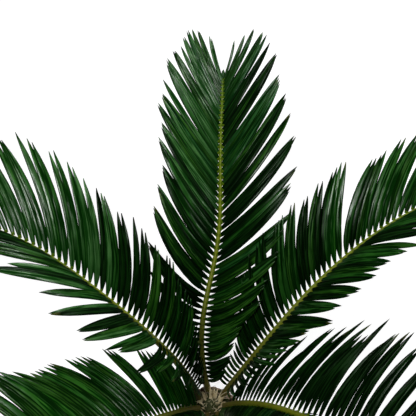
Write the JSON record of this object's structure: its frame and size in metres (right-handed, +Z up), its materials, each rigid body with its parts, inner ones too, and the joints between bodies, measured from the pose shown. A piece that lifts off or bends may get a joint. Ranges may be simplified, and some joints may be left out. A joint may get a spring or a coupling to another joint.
{
  "type": "sago palm",
  "caption": "Young rooted sago palm: short tapering trunk under a ring of long arching feather fronds with stiff dark green leaflets.",
  "frame": {"origin": "middle of the flat cut under the trunk, at ground level", "axes": "+Z up along the trunk; +Y towards the back frond, +X to the right seen from the front"},
  "size_m": [1.132, 1.225, 0.5983],
  "materials": {
    "trunk_bark": "rough brown leaf-base armour, dull",
    "heart_wool": "straw-coloured woolly scales, matte",
    "frond_leaf": "stiff dark green leaflets with a soft waxy gloss, yellow-green midrib"
  },
  "bodies": {
    "root": {"trunk": "trunk_bark", "crown_heart": "heart_wool", "frond_back": "frond_leaf", "frond_left": "frond_leaf", "frond_near_left": "frond_leaf", "frond_front_left": "frond_leaf", "frond_front_right": "frond_leaf", "frond_near_right": "frond_leaf", "frond_right": "frond_leaf"}
  },
  "joints": []
}
